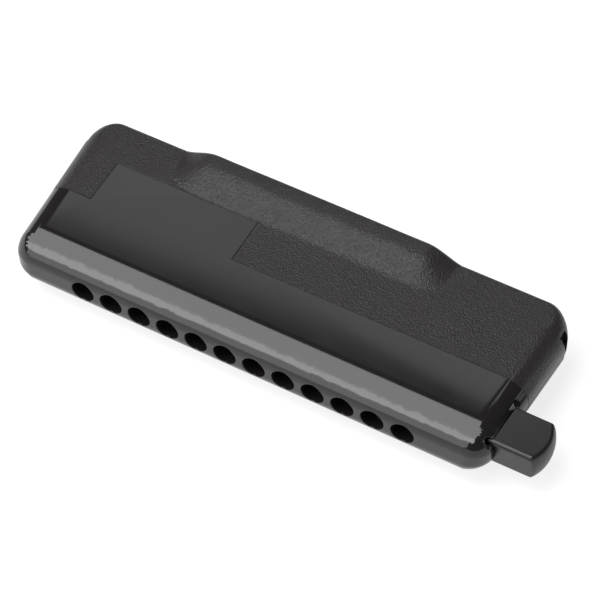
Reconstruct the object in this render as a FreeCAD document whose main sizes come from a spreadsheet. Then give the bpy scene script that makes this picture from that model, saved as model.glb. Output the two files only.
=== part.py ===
"""Twelve-hole chromatic harmonica with a one-piece housing, as a parametric FreeCAD document.

Working axes: X along the row of holes towards the slide button, Y from the mouthpiece to the
back, Z up. Sizes are worked out about the middle of the row of holes, the front of the
mouthpiece and the mid-plane; every sub-part's Placement then moves it so that the origin is
the bottom centre of the whole instrument's box. Millimetres throughout.
"""
import FreeCAD, Part
import os
import re
from math import atan2, cos, pi, radians, sin, sqrt

import Sketcher
from FreeCAD import Rotation, Vector

DRIVING_SIZES = [
    # breath holes
    ("hole_pitch", 9.0), ("hole_radius", 3.5), ("hole_rim", 0.25),
    # outer skin: mouthpiece lip, body slab, rounded ends, raised middle of the rear edge
    ("half_length", 73.2), ("end_flare", 0.0652), ("depth", 52.3),
    ("lip_corner", 7.0), ("front_round", 6.2), ("fall_low", 4.91), ("fall_steep", 50.0),
    ("fall_flat", 14.0), ("crease_soft", 1.0), ("crease_y", 9.3), ("crease_z", 8.15),
    ("rear_z", 8.27), ("rear_corner", 9.0), ("end_round", 7.2), ("rear_round", 1.5),
    ("crest_z", 12.0), ("hump_start_y", 36.5), ("hump_end_y", 48.5),
    ("hump_left", 48.2), ("hump_right", 42.6), ("hump_shoulder", 12.3),
    # engraved line between the smooth front and the grained rear
    ("line_width", 0.3), ("line_depth", 0.18), ("line_y", 24.0), ("panel_y", 38.6),
    ("panel_left", 61.0), ("panel_right", 15.6),
    # cavity
    ("lip_wall", 8.8), ("cavity_half", 61.0), ("cavity_z", 5.7), ("cavity_front", 13.0),
    ("channel_z", 5.0), ("side_wall", 2.6), ("bay_y", 21.8), ("mouth_wall", 1.9),
    ("rail_thick", 1.5), ("fit_gap", 0.05),
    # slide, its guide and its seals, from the lip's inner wall to the comb
    ("seal_thick", 0.4), ("slide_thick", 0.8), ("slide_gap", 0.1), ("guide_thick", 1.0),
    ("slide_half", 4.2), ("guide_half", 4.9), ("tang_half", 3.0), ("guide_length", 60.4),
    ("window_width", 4.2), ("window_high", 3.0), ("window_z", 1.9), ("slide_travel", 4.5),
    # slide button and its slot
    ("button_inner", 70.0), ("button_corner", 85.0), ("button_crown", 87.0),
    ("button_front", 6.0), ("button_width", 13.4), ("button_half", 4.6), ("button_round", 1.2),
    ("button_gap", 0.35), ("tang_grip", 6.4), ("pin_radius", 0.7), ("pin_z", 1.6), ("pin_long", 5.2),
    ("relief_radius", 1.2), ("stop_thick", 1.4), ("stop_x", 64.0),
    # return spring
    ("spring_room", 7.2), ("spring_radius", 1.7), ("spring_wire", 0.25), ("spring_turns", 4.5),
    # comb
    ("comb_half", 59.5), ("comb_rear", 45.6), ("comb_half_height", 3.0), ("comb_floor", 0.5),
    ("comb_wall", 1.0), ("feeder_deep", 2.0), ("ear_reach", 7.0), ("ear_thick", 1.2),
    # reed plates, reeds, valves and rivets
    ("plate_half", 57.6), ("plate_thick", 1.05), ("plate_rear", 45.0),
    ("reed_root_y", 19.0), ("reed_long", 16.0), ("reed_short", 9.5), ("reed_width", 2.0),
    ("reed_thick", 0.3), ("slot_gap", 0.08), ("pad_length", 3.4), ("rivet_back", 2.1),
    ("rivet_radius", 0.5), ("rivet_head", 0.8), ("rivet_rise", 0.35),
    ("valve_thick", 0.2), ("valve_width", 3.0), ("valve_glue", 1.0),
    # screws of the reed plates
    ("screw_radius", 0.9), ("screw_head", 1.7), ("screw_rise", 0.8), ("screw_deep", 2.3),
    ("screw_x", 56.0), ("screw_mid_x", 28.0), ("screw_front_y", 17.0), ("screw_rear_y", 42.8),
    # latches that hold the comb in the housing
    ("latch_x", 65.0), ("latch_y", 24.5), ("latch_pin", 0.75), ("pin_gap", 0.05),
    ("latch_thick", 1.6), ("knuckle_radius", 1.7), ("knuckle_half", 1.7), ("arm_half", 4.8),
    ("tab_tip", 74.4), ("tab_thick", 1.4), ("tab_back", 45.4), ("tab_low", 1.0), ("tab_high", 4.6),
    ("catch_front", 43.7), ("catch_width", 3.2), ("catch_low", 0.6), ("catch_high", 5.8),
]
HOLES = 12
HUMP_SINK = 0.25    # the crest starts this far under the slab
HUMP_INSET = 0.02
CREST_TRIM = 0.06   # left on the crest for its flat face
DOME_REACH = 2.0    # the dome meets the button's flat sides this far behind the corner, at most
CROWN_RISE = "(button_crown - button_corner)"
CROWN_RADIUS = f"(((button_width / 2) ^ 2 + {CROWN_RISE} ^ 2) / (2 * {CROWN_RISE}))"
ALIASES = re.compile(r"\b(" + "|".join(name for name, _ in DRIVING_SIZES) + r")\b")

doc = FreeCAD.newDocument("harmonica")


def make_sheet():
    """The spreadsheet of driving sizes, one named cell per row."""
    sheet = doc.addObject("Spreadsheet::Sheet", "Sizes")
    for row, (name, value) in enumerate(DRIVING_SIZES, start=1):
        sheet.set(f"A{row}", name)
        sheet.set(f"B{row}", str(value))
        sheet.setAlias(f"B{row}", name)
    doc.recompute()
    return sheet


SHEET = make_sheet()


def size(name):
    """A driving size, read back from the sheet."""
    return float(SHEET.get(name))


def bound(text):
    """An expression in plain size names, with each name pointed at its cell."""
    return ALIASES.sub(r"Sizes.\1", text)


def bind(item, **expressions):
    """Binds properties of an object; a double underscore stands for a dot in the path."""
    for path, text in expressions.items():
        item.setExpression(path.replace("__", "."), bound(text))


# ---------------------------------------------------------------- primitives bound to the sheet

def block(name, x, y, z, length, width, height):
    """A box from its low corner and its sides, all as expressions."""
    item = doc.addObject("Part::Box", name)
    bind(item, Length=length, Width=width, Height=height)
    bind(item, Placement__Base__x=x, Placement__Base__y=y, Placement__Base__z=z)
    return item


def rod(name, x, y, z, radius, height, along="Z"):
    """A cylinder that starts at a point and runs along +Z, +Y or +X."""
    item = doc.addObject("Part::Cylinder", name)
    turns = {"Z": Rotation(), "Y": Rotation(Vector(1, 0, 0), -90), "X": Rotation(Vector(0, 1, 0), 90)}
    item.Placement = FreeCAD.Placement(Vector(), turns[along])
    bind(item, Radius=radius, Height=height)
    bind(item, Placement__Base__x=x, Placement__Base__y=y, Placement__Base__z=z)
    return item


def group(name, items):
    """Several solids in one object, each kept separate."""
    item = doc.addObject("Part::Compound", name)
    item.Links = items
    return item


def fused(name, items):
    """The union of several solids."""
    item = doc.addObject("Part::MultiFuse", name)
    item.Shapes = items
    item.Refine = True
    return item


def cut(name, base, tools):
    """A solid less a list of tools."""
    item = doc.addObject("Part::Cut", name)
    item.Base = base
    item.Tool = tools[0] if len(tools) == 1 else group(name + "_tools", tools)
    return item


def mirrored(name, source, normal):
    """The same piece mirrored in a plane through the middle."""
    item = doc.addObject("Part::Mirroring", name)
    item.Source = source
    item.Base = Vector(0, 0, 0)
    item.Normal = normal
    return item


def hole_x(index):
    """Expression for the middle of one breath hole."""
    return f"({index} - {(HOLES - 1) / 2}) * hole_pitch"


def column_x(index):
    """Expression for the middle of one reed column: two columns to a hole."""
    return f"({index} - {HOLES - 0.5}) * hole_pitch / 2"


def reed_length(column):
    """Expression for a reed's free length, shorter hole by hole."""
    return f"(reed_long - (reed_long - reed_short) * {column // 2} / {HOLES - 1})"


SEAL_Y = "lip_wall"
SLIDE_Y = "(lip_wall + seal_thick + slide_gap)"
GUIDE_Y = "(lip_wall + seal_thick + 2 * slide_gap + slide_thick)"
SPRING_Y = f"({SLIDE_Y} + slide_thick / 2)"
COMB_SEAL_Y = f"({GUIDE_Y} + guide_thick)"
COMB_Y = f"({COMB_SEAL_Y} + seal_thick)"


# ---------------------------------------------------------------- PartDesign helpers

def plane_of(body, role):
    """One of a body's own origin planes."""
    return next(item for item in body.Origin.OriginFeatures if item.Role == role)


def rectangle_sketch(body, name, left, low, width, height, y):
    """A rectangle in a plane across Y, its four sides bound to the sheet."""
    sketch = body.newObject("Sketcher::SketchObject", name)
    sketch.AttachmentSupport = [(plane_of(body, "XZ_Plane"), "")]
    sketch.MapMode = "FlatFace"
    bind(sketch, AttachmentOffset__Base__z=f"-({y})")
    corners = [Vector(0, 0), Vector(1, 0), Vector(1, 1), Vector(0, 1)]
    for k in range(4):
        sketch.addGeometry(Part.LineSegment(corners[k], corners[(k + 1) % 4]))
    for k in range(4):
        sketch.addConstraint(Sketcher.Constraint("Coincident", k, 2, (k + 1) % 4, 1))
        sketch.addConstraint(Sketcher.Constraint("Horizontal" if k % 2 == 0 else "Vertical", k))
    for label, kind, ends, text in [
        ("left", "DistanceX", (-1, 1, 0, 1), left),
        ("low", "DistanceY", (-1, 1, 0, 1), low),
        ("width", "DistanceX", (0, 1, 0, 2), width),
        ("height", "DistanceY", (1, 1, 1, 2), height),
    ]:
        number = sketch.addConstraint(Sketcher.Constraint(kind, *ends, 1.0))
        sketch.renameConstraint(number, label)
        bind(sketch, **{f"Constraints__{label}": text})
    return sketch


def pad_back(body, name, sketch, thickness):
    """Pads a sketch towards the back of the instrument."""
    pad = body.newObject("PartDesign::Pad", name)
    pad.Profile = sketch
    pad.Reversed = True
    bind(pad, Length=thickness)
    return pad


def pocket_row(body, name, sketch):
    """Cuts a window right through and repeats it at every breath hole."""
    pocket = body.newObject("PartDesign::Pocket", name)
    pocket.Profile = sketch
    pocket.Type = "ThroughAll"
    pocket.Midplane = True
    doc.recompute()
    row = body.newObject("PartDesign::LinearPattern", name + "_row")
    row.Originals = [pocket]
    row.Direction = (sketch, ["H_Axis"])
    row.Occurrences = HOLES
    bind(row, Length=f"hole_pitch * {HOLES - 1}")
    body.Tip = row
    doc.recompute()
    return row


def windowed_strip(label, half_length, half_height, y, thickness, windows):
    """A flat strip across Y with rows of windows, one window of each row at every hole."""
    body = doc.addObject("PartDesign::Body", label)
    outline = rectangle_sketch(
        body, label + "_outline", f"-{half_length}", f"-{half_height}",
        f"2 * {half_length}", f"2 * {half_height}", y)
    pad_back(body, label + "_pad", outline, thickness)
    doc.recompute()
    for number, (shift, low, width, height) in enumerate(windows):
        window = rectangle_sketch(
            body, f"{label}_window{number}", f"{hole_x(0)} + {shift} - {width} / 2", low,
            width, height, y)
        pocket_row(body, f"{label}_cut{number}", window)
    return body


# ---------------------------------------------------------------- housing skin

def smooth(t):
    """A soft step from 0 to 1."""
    t = min(max(t, 0.0), 1.0)
    return t * t * (3 - 2 * t)


def top_plane(y):
    """Height of the body's top face, which rises a little towards the back."""
    along = (y - size("crease_y")) / (size("depth") - size("crease_y"))
    return size("crease_z") + (size("rear_z") - size("crease_z")) * along


def half_length_at(y):
    """Half the body's length at a depth: its ends spread towards the back."""
    return size("half_length") + size("end_flare") * y


def feature(name, shape):
    """A document object that holds a worked shape."""
    item = doc.addObject("Part::Feature", name)
    item.Shape = shape
    return item


def prism_x(name, outline, x_low, x_high):
    """A solid drawn as (y, z) points and run along X."""
    points = [Vector(x_low, y, z) for y, z in outline]
    face = Part.Face(Part.makePolygon(points + points[:1]))
    return feature(name, face.extrude(Vector(x_high - x_low, 0, 0)))


def prism_z(name, outline, z_low, z_high):
    """A solid drawn as (x, y) points and run along Z."""
    points = [Vector(x, y, z_low) for x, y in outline]
    face = Part.Face(Part.makePolygon(points + points[:1]))
    return feature(name, face.extrude(Vector(0, 0, z_high - z_low)))


def arc_about(centre_x, centre_y, radius, start, end):
    """A plan arc about a centre, between two angles in radians."""
    points = [Vector(centre_x + radius * cos(a), centre_y + radius * sin(a), 0)
              for a in (start, (start + end) / 2, end)]
    return points[0], points[2], Part.Arc(*points).toShape()


def slab_outline():
    """Plan of the body: round front corners, spreading ends and wide rear corners."""
    lean = atan2(size("end_flare"), 1)
    front, rear = size("lip_corner"), size("rear_corner")
    front_y, rear_y = front, size("depth") - rear
    front_x = half_length_at(front_y + front * sin(lean)) - front * cos(lean)
    rear_x = half_length_at(rear_y - rear * sin(lean)) - rear * cos(lean)
    nose, side_low, front_arc = arc_about(front_x, front_y, front, -pi / 2, -lean)
    side_high, back, rear_arc = arc_about(rear_x, rear_y, rear, -lean, pi / 2)
    right = [front_arc, Part.LineSegment(side_low, side_high).toShape(), rear_arc]
    left = [edge.mirror(Vector(), Vector(1, 0, 0)) for edge in right]

    def across(point):
        return Part.LineSegment(point, Vector(-point.x, point.y, 0)).toShape()

    return Part.Wire(Part.__sortEdges__(right + left + [across(nose), across(back)]))


def rim_radius(point):
    """Rounding of the body's rim at one point of its plan."""
    if point.y > size("depth") - 0.1:
        return size("rear_round")
    return size("front_round") if point.y < 0.1 else size("end_round")


def make_slab():
    """The body, its rim rounded widely in front and at the ends and tightly along the rear."""
    reach = 2 * size("depth")
    wedge = prism_x("slab_wedge", [(-1, 0), (reach, 0), (reach, top_plane(reach)), (-1, top_plane(-1))],
                    -reach, reach)
    upright = Part.Face(slab_outline()).extrude(Vector(0, 0, size("depth")))
    half = feature("slab_half", upright.common(wedge.Shape))
    rims = []
    for number, edge in enumerate(half.Shape.Edges, start=1):
        if all(abs(v.Z - top_plane(v.Y)) < 1e-4 for v in edge.Vertexes):
            ends = [edge.valueAt(edge.FirstParameter), edge.valueAt(edge.LastParameter)]
            rims.append((number, rim_radius(ends[0]), rim_radius(ends[1])))
    rounded = doc.addObject("Part::Fillet", "slab_rounded")
    rounded.Base = half
    rounded.Edges = rims
    doc.recompute()
    return rounded.Shape.fuse(rounded.Shape.mirror(Vector(), Vector(0, 0, 1))).removeSplitter()


def fall_curves():
    """The lip's fall in the (y, z) plane: steep in front, soft at the crease behind."""
    drop, low = size("front_round"), size("fall_low")
    rise = low - (top_plane(0) - drop)
    start = Vector(0, drop - sqrt(drop ** 2 - rise ** 2), low)
    steep, flat = radians(size("fall_steep")), radians(size("fall_flat"))
    crease = Vector(0, size("crease_y"), top_plane(size("crease_y")))
    soft = size("crease_soft")
    end = crease - Vector(0, soft * cos(flat), soft * sin(flat))
    reach = end - start
    run = (reach.z * cos(flat) - reach.y * sin(flat)) / sin(steep - flat)
    corner = start + Vector(0, run * cos(steep), run * sin(steep))
    outside = start - Vector(0, cos(steep), sin(steep)) * 3
    last = crease + Vector(0, soft, 0.012)
    slope, rounding = Part.BezierCurve(), Part.BezierCurve()
    slope.setPoles([start, corner, end])
    rounding.setPoles([end, crease, last])
    return outside, last, [Part.LineSegment(outside, start).toShape(), slope.toShape(), rounding.toShape()]


def front_fall():
    """What the front loses above its fall."""
    outside, last, curves = fall_curves()
    top = [Vector(0, last.y, 30), Vector(0, outside.y, 30)]
    walls = Part.makePolygon([last, top[0], top[1], outside])
    reach = 2 * size("half_length")
    face = Part.Face(Part.Wire(curves + walls.Edges))
    face.translate(Vector(-reach / 2, 0, 0))
    return feature("front_fall", face.extrude(Vector(reach, 0, 0))).Shape


def hump_share(x):
    """Rise of the rear crest along the length, from 0 to 1."""
    shoulder = size("hump_shoulder")
    return smooth((x + size("hump_left")) / shoulder) * smooth((size("hump_right") - x) / shoulder)


def hump_wire(x):
    """One section of the raised crest, from its soft ramp to its rounded rear rim."""
    start, end = size("hump_start_y"), size("hump_end_y")
    rim, back, share = size("rear_round"), size("depth") - HUMP_INSET, hump_share(x)

    def height(y):
        under = top_plane(y) - HUMP_SINK
        ramp = smooth((y - start) / (end - start))
        return under + (size("crest_z") + CREST_TRIM - under) * ramp * share

    ramp_points = [Vector(x, start + (end - start) * k / 10, 0) for k in range(11)]
    for point in ramp_points:
        point.z = height(point.y)
    curve = Part.BSplineCurve()
    curve.interpolate(Points=ramp_points, Parameters=[k / 10 for k in range(11)])
    crest = Vector(x, back - rim, height(back - rim))
    rim_low = Vector(x, back, crest.z - rim)
    rim_middle = Vector(x, back - rim * (1 - sin(pi / 4)), crest.z - rim * (1 - cos(pi / 4)))
    return Part.Wire([
        curve.toShape(), Part.LineSegment(ramp_points[-1], crest).toShape(),
        Part.Arc(crest, rim_middle, rim_low).toShape(),
        Part.LineSegment(rim_low, Vector(x, back, 3)).toShape(),
        Part.LineSegment(Vector(x, back, 3), Vector(x, start, 3)).toShape(),
        Part.LineSegment(Vector(x, start, 3), ramp_points[0]).toShape(),
    ])


def make_hump():
    """The raised middle of the rear edge, lofted through its shoulders."""
    shoulder, left, right = size("hump_shoulder"), -size("hump_left"), size("hump_right")
    marks = [left + shoulder * k / 8 for k in range(9)]
    flat = right - left - 2 * shoulder
    marks += [left + shoulder + flat * k / 4 for k in (0.1, 1, 2, 3, 3.9)]
    marks += [right - shoulder * k / 8 for k in range(8, -1, -1)]
    return Part.makeLoft([hump_wire(x) for x in marks], True, False, False, 5)


def make_skin():
    """The outer skin: the rounded body with its falling front and the crest above and below."""
    hump, fall = make_hump(), front_fall()
    falls = [fall, fall.mirror(Vector(), Vector(0, 0, 1))]
    body = make_slab().cut(Part.makeCompound(falls))
    under = hump.mirror(Vector(), Vector(0, 0, 1))
    return feature("skin", body.multiFuse([hump, under]).removeSplitter())


def end_bay(side):
    """Room for one latch, behind the end wall and open at the rear."""
    inside = size("rear_corner") - size("side_wall")
    turn = size("depth") - size("rear_corner")
    bay, past = size("bay_y"), size("depth") + 5

    def wall(y):
        centre = half_length_at(turn) - size("rear_corner")
        return centre + sqrt(inside ** 2 - max(y - turn, 0.0) ** 2)

    inner = size("cavity_half") - 2
    rim = turn + 0.93 * inside
    outline = [(inner, bay), (wall(bay) - 1.6, bay), (wall(turn) - 0.8, turn)]
    outline += [(wall(y), y) for y in (turn + 0.45 * inside, turn + 0.72 * inside, rim)]
    outline += [(wall(rim), past), (inner, past)]
    placed = [(side * x, y) for x, y in outline]
    return prism_z(f"bay{side}", placed, -size("cavity_z"), size("cavity_z"))


def sound_mouth(sign):
    """The cavity's flare under the raised crest, open at the rear."""
    low, high = size("cavity_z"), size("crest_z") - size("mouth_wall")
    start, end, past = size("hump_start_y"), size("hump_end_y"), size("depth") + 5
    outline = [
        (start, low - 1), (start, low), (end - 1.5, low + 3.0), (end + 0.5, high), (past, high),
        (past, low - 1),
    ]
    x_low = size("hump_shoulder") - size("hump_left") + 1
    x_high = size("hump_right") - size("hump_shoulder") - 1
    return prism_x(f"mouth{sign}", [(y, sign * z) for y, z in outline], x_low, x_high)


def engraved_line(sign):
    """Thin line round the smooth front, stepping back round a plain name panel."""
    half, edge, back = size("line_width") / 2, size("line_y"), size("panel_y")
    left, right = -size("panel_left"), -size("panel_right")
    reach = size("half_length") + 5
    runs = [
        (-reach, edge, left, edge), (left, edge, left, back), (left, back, right, back),
        (right, edge, right, back), (right, edge, reach, edge),
    ]
    strips = []
    for x0, y0, x1, y1 in runs:
        low = Vector(x0 - half, y0 - half, 0)
        strips.append(Part.makeBox(x1 - x0 + 2 * half, y1 - y0 + 2 * half, 30, low))
    floor = [(y, top_plane(y) - size("line_depth")) for y in (15, 50)]
    layer = prism_x(f"line_layer{sign}", floor + [(50, 20), (15, 20)], -reach, reach)
    shape = strips[0].multiFuse(strips[1:]).common(layer.Shape)
    return feature(f"line{sign}", shape if sign > 0 else shape.mirror(Vector(), Vector(0, 0, 1)))


def on_hole_rim(edge):
    """Whether an edge runs round the outer end of a breath hole."""
    if edge.BoundBox.YMax > size("front_round") / 2:
        return False
    first, last = edge.FirstParameter, edge.LastParameter
    points = [edge.valueAt(first + (last - first) * share) for share in (0, 0.5, 1)]
    pitch = size("hole_pitch")
    nearest = [(round(p.x / pitch - 0.5) + 0.5) * pitch for p in points]
    reach = [sqrt((p.x - x) ** 2 + p.z ** 2) for p, x in zip(points, nearest)]
    return all(abs(r - size("hole_radius")) < 0.001 for r in reach)


def soft_rims(shape):
    """Rounds the rim of each breath hole."""
    return shape.makeFillet(size("hole_rim"), [edge for edge in shape.Edges if on_hole_rim(edge)])


def housing_openings():
    """Everything cut from the skin except its holes: cavity, slide run, button slot, catches."""
    tools = [
        block("trim_up", "-100", "30", "crest_z", "200", "40", "10"),
        block("trim_down", "-100", "30", "-crest_z - 10", "200", "40", "10"),
        block("front_channel", "-cavity_half", "lip_wall", "-channel_z",
              "2 * cavity_half", "cavity_front - lip_wall + 1", "2 * channel_z"),
        block("cavity", "-cavity_half", "cavity_front", "-cavity_z",
              "2 * cavity_half", "depth", "2 * cavity_z"),
        end_bay(1), end_bay(-1), sound_mouth(1), sound_mouth(-1),
        block("slide_run", "-(cavity_half + slide_travel + 0.6)", f"{SLIDE_Y} - 0.2",
              "-(slide_half + 0.2)", "slide_travel + 2", "slide_thick + 0.4", "2 * slide_half + 0.4"),
        block("spring_bay", "-(cavity_half + spring_room)", f"{SPRING_Y} - spring_radius - 0.4",
              "-(spring_radius + 0.6)", "spring_room + 1", "2 * spring_radius + 0.8",
              "2 * spring_radius + 1.2"),
        block("tang_slot", "cavity_half - 1", f"{SLIDE_Y} - 0.3", "-(tang_half + 0.3)",
              "stop_x - cavity_half + 2", "slide_thick + 0.6", "2 * (tang_half + 0.3)"),
        block("button_slot", "stop_x", "button_front - button_gap", "-(button_half + button_gap)",
              "40", "button_width + 2 * button_gap", "2 * (button_half + button_gap)"),
    ]
    for side in (0, 1):
        for sign in (-1, 1):
            tools.append(rod(
                f"relief{side}{sign}", "half_length - 5",
                f"button_front - button_gap + {side} * (button_width + 2 * button_gap)",
                f"{sign} * (button_half + button_gap)", "relief_radius", "20", "X"))
    for side in (-1, 1):
        for sign in (-1, 1):
            start = "tab_tip - 7" if side > 0 else "-tab_tip - 8"
            low = "catch_low" if sign > 0 else "-catch_high"
            tools.append(block(f"catch{side}{sign}", start, "catch_front", low,
                               "15", "catch_width", "catch_high - catch_low"))
    return tools + [engraved_line(1), engraved_line(-1)]


def comb_rails():
    """Four ribs inside the housing that hold the comb's ends from above and below."""
    rails = []
    for side in (-1, 1):
        for sign in (-1, 1):
            x = "comb_half - rail_thick" if side > 0 else "-comb_half"
            z = "comb_half_height + fit_gap" if sign > 0 else "-(cavity_z + 0.8)"
            rails.append(block(f"rail{side}{sign}", x, "cavity_front + 2", z, "rail_thick",
                               "screw_rear_y - cavity_front - 2",
                               "cavity_z + 0.8 - comb_half_height - fit_gap"))
    return rails


def make_housing():
    """The one-piece housing."""
    bores = [rod(f"bore{k}", hole_x(k), "-1", "0", "hole_radius", "lip_wall + 2", "Y")
             for k in range(HOLES)]
    hollow = cut("hollow", make_skin(), bores + housing_openings())
    whole = fused("housing_solid", [hollow] + comb_rails())
    doc.recompute()
    return feature("housing", soft_rims(whole.Shape))


# ---------------------------------------------------------------- slide assembly

def make_seals():
    """Front and rear gaskets of the slide, with a window at each hole."""
    edge = "window_z + window_high / 2"
    front = windowed_strip("mouthpiece_seal", "guide_length", "guide_half", SEAL_Y, "seal_thick",
                           [("0", f"-({edge})", "window_width", f"2 * ({edge})")])
    rear = windowed_strip("comb_seal", "comb_half", "guide_half", COMB_SEAL_Y, "seal_thick",
                          [("0", "comb_floor", "window_width", "window_high - 0.4"),
                           ("0", "-comb_floor - (window_high - 0.4)", "window_width",
                            "window_high - 0.4")])
    return [front, rear]


def window_rows(shift):
    """Upper windows over the holes, and lower ones moved along by a shift."""
    return [("0", "window_z - window_high / 2", "window_width", "window_high"),
            (shift, "-window_z - window_high / 2", "window_width", "window_high")]


def make_guide():
    """Fixed guide behind the slide, with lips above and below that keep it in line."""
    plate = windowed_strip("guide_plate", "guide_length", "guide_half", GUIDE_Y, "guide_thick",
                           window_rows("0"))
    lips = []
    for sign in (-1, 1):
        z = "slide_half + slide_gap" if sign > 0 else "-guide_half"
        lips.append(block(f"guide_lip{sign}", "-guide_length", "lip_wall + seal_thick", z,
                          "2 * guide_length", "slide_thick + 2 * slide_gap",
                          "guide_half - slide_half - slide_gap"))
    return fused("slide_guide", [plate] + lips)


def make_slide():
    """The slide: two rows of windows half a pitch apart, and a tang that carries the button."""
    strip = windowed_strip("slide_strip", "(cavity_half - fit_gap)", "slide_half", SLIDE_Y,
                           "slide_thick", window_rows("slide_travel"))
    tang = block("tang", "guide_length - 1", SLIDE_Y, "-tang_half",
                 "button_inner + tang_grip - guide_length + 1", "slide_thick", "2 * tang_half")
    holes = [rod(f"tang_hole{sign}", "button_inner + tang_grip / 2", f"{SLIDE_Y} - 1",
                 f"{sign} * pin_z", "pin_radius", "slide_thick + 2", "Y") for sign in (-1, 1)]
    return cut("slide_plate", fused("slide_blank", [strip, tang]), holes)


def button_sketch(body):
    """Plan of the button: three straight sides and a crowned end."""
    sketch = body.newObject("Sketcher::SketchObject", "button_outline")
    sketch.AttachmentSupport = [(plane_of(body, "XY_Plane"), "")]
    sketch.MapMode = "FlatFace"
    inner, corner, crown = size("button_inner"), size("button_corner"), size("button_crown")
    front, back = size("button_front"), size("button_front") + size("button_width")
    points = [Vector(corner, front), Vector(inner, front), Vector(inner, back), Vector(corner, back)]
    for k in range(3):
        sketch.addGeometry(Part.LineSegment(points[k], points[k + 1]))
    sketch.addGeometry(Part.Arc(points[0], Vector(crown, (front + back) / 2), points[3]))
    for first, end, second, start in ((0, 2, 1, 1), (1, 2, 2, 1), (3, 1, 0, 1), (3, 2, 2, 2)):
        sketch.addConstraint(Sketcher.Constraint("Coincident", first, end, second, start))
    sketch.addConstraint(Sketcher.Constraint("Vertical", 1))
    half, rise = size("button_width") / 2, crown - corner
    for label, kind, ends, value, text in [
        ("inner", "DistanceX", (-1, 1, 0, 2), inner, "button_inner"),
        ("corner", "DistanceX", (-1, 1, 0, 1), corner, "button_corner"),
        ("corner_back", "DistanceX", (-1, 1, 2, 2), corner, "button_corner"),
        ("front", "DistanceY", (-1, 1, 0, 2), front, "button_front"),
        ("level", "DistanceY", (-1, 1, 0, 1), front, "button_front"),
        ("wide", "DistanceY", (1, 1, 1, 2), back - front, "button_width"),
        ("level_back", "DistanceY", (-1, 1, 2, 2), back, "button_front + button_width"),
        ("crown", "Radius", (3,), (half ** 2 + rise ** 2) / (2 * rise), CROWN_RADIUS),
    ]:
        number = sketch.addConstraint(Sketcher.Constraint(kind, *ends, value))
        sketch.renameConstraint(number, label)
        bind(sketch, **{f"Constraints__{label}": text})
    return sketch


def make_button():
    """The push button: domed end, rounded edges, a slit for the tang and two pin bores."""
    body = doc.addObject("PartDesign::Body", "button_block")
    pad = body.newObject("PartDesign::Pad", "button_pad")
    pad.Profile = button_sketch(body)
    pad.Midplane = True
    bind(pad, Length="2 * button_half")
    body.Tip = pad
    dome = doc.addObject("Part::Sphere", "button_dome")
    bind(dome, Radius=CROWN_RADIUS, Placement__Base__x=f"button_crown - {CROWN_RADIUS}",
         Placement__Base__y="button_front + button_width / 2")
    domed = doc.addObject("Part::MultiCommon", "button_domed")
    domed.Shapes = [body, dome]
    doc.recompute()
    corner = size("button_corner") - DOME_REACH
    outer = [(number, size("button_round"), size("button_round"))
             for number, edge in enumerate(domed.Shape.Edges, start=1) if edge.BoundBox.XMax > corner]
    rounded = doc.addObject("Part::Fillet", "button_rounded")
    rounded.Base = domed
    rounded.Edges = outer
    slit = block("button_slit", "button_inner - 1", SLIDE_Y, "-tang_half", "tang_grip + 1",
                 "slide_thick", "2 * tang_half")
    spots = [("button_inner + tang_grip / 2", "button_front + 1.5", f"{sign} * pin_z",
              "pin_radius", "pin_long", "Y") for sign in (-1, 1)]
    bores = [rod(f"button_bore{k}", *spot) for k, spot in enumerate(spots)]
    pins = [rod(f"button_pin{k}", *spot) for k, spot in enumerate(spots)]
    return cut("slide_button", rounded, [slit] + bores), group("button_pins", pins)


def make_spring():
    """Coil spring along X, between the housing's end and the slide."""
    wire, room = size("spring_wire"), size("spring_room")
    long = room - 2 * wire - 0.1
    helix = Part.makeHelix(long / size("spring_turns"), long, size("spring_radius"))
    start = Vector(size("spring_radius"), 0, 0)
    ring = Part.Wire(Part.makeCircle(wire, start, Vector(0, 1, 0)))
    coil = Part.Wire(helix).makePipeShell([ring], True, True)
    coil.rotate(Vector(), Vector(0, 1, 0), 90)
    axis_y = size("lip_wall") + size("seal_thick") + size("slide_gap") + size("slide_thick") / 2
    coil.translate(Vector(-size("cavity_half") - room + wire + 0.05, axis_y, 0))
    return feature("slide_spring", coil)


def make_stop():
    """Soft pad that the button comes to rest on when it is pushed home."""
    return block("slide_stop", "stop_x", f"{SLIDE_Y} + slide_thick + 0.9", "-3", "stop_thick",
                 "6.5", "6")


# ---------------------------------------------------------------- comb, reed plates and reeds

COLUMNS = range(2 * HOLES)
DRAW_COLUMNS = [column for column in COLUMNS if column % 2]
BLOW_COLUMNS = [column for column in COLUMNS if not column % 2]
PLATE_TOP = "(comb_half_height + plate_thick)"


def screw_places():
    """Expressions for the middle of each reed plate screw."""
    corners = [(f"{side} * screw_x", y) for side in (-1, 1) for y in ("screw_front_y", "screw_rear_y")]
    return corners + [(f"{k} * screw_mid_x", "screw_rear_y") for k in (-1, 0, 1)]


def rivet_y(column):
    """Expression for a rivet's place: at the reed's root, in front for draw reeds."""
    if column in DRAW_COLUMNS:
        return "reed_root_y - rivet_back"
    return f"reed_root_y + {reed_length(column)} + rivet_back"


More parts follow.
